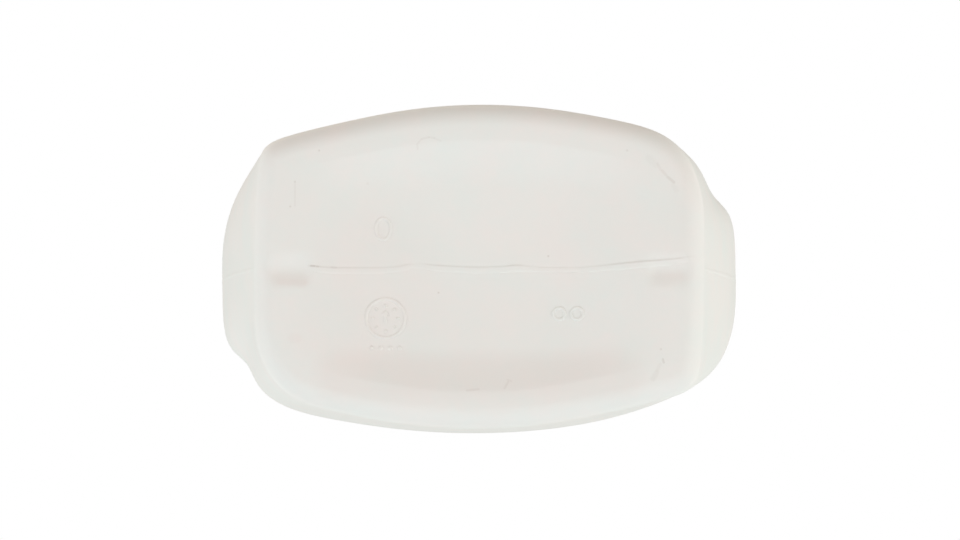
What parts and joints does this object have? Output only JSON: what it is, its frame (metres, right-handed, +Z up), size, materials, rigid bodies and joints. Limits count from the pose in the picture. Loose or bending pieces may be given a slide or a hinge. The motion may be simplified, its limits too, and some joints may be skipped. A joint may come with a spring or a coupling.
{
  "type": "shower gel bottle",
  "caption": "Upright blow-moulded plastic bottle with flared flanks and a flip-top closure that pours shower gel through an orifice.",
  "frame": {"origin": "middle of the bottle's box at the surface that it stands on", "axes": "+Z up along the bottle, +X along its width, and the front faces -Y with the lid's hinge at +Y"},
  "size_m": [0.0702, 0.0418, 0.15],
  "materials": {
    "bottle_plastic": "white polyethylene, satin from the mould, faintly mottled",
    "cap_plastic": "white polypropylene, smooth",
    "gel": "smooth thick liquid"
  },
  "bodies": {
    "bottle": {"bottle": "bottle_plastic", "gel": "gel", "cap_base": "cap_plastic"},
    "lid": {"cap_lid": "cap_plastic"}
  },
  "joints": [
    {"name": "lid_hinge", "type": "hinge", "parent": "bottle", "child": "lid", "pos_m": [0, 0.0165, 0.13815], "axis": [-1, 0, 0], "range_deg": [0, 140]}
  ]
}
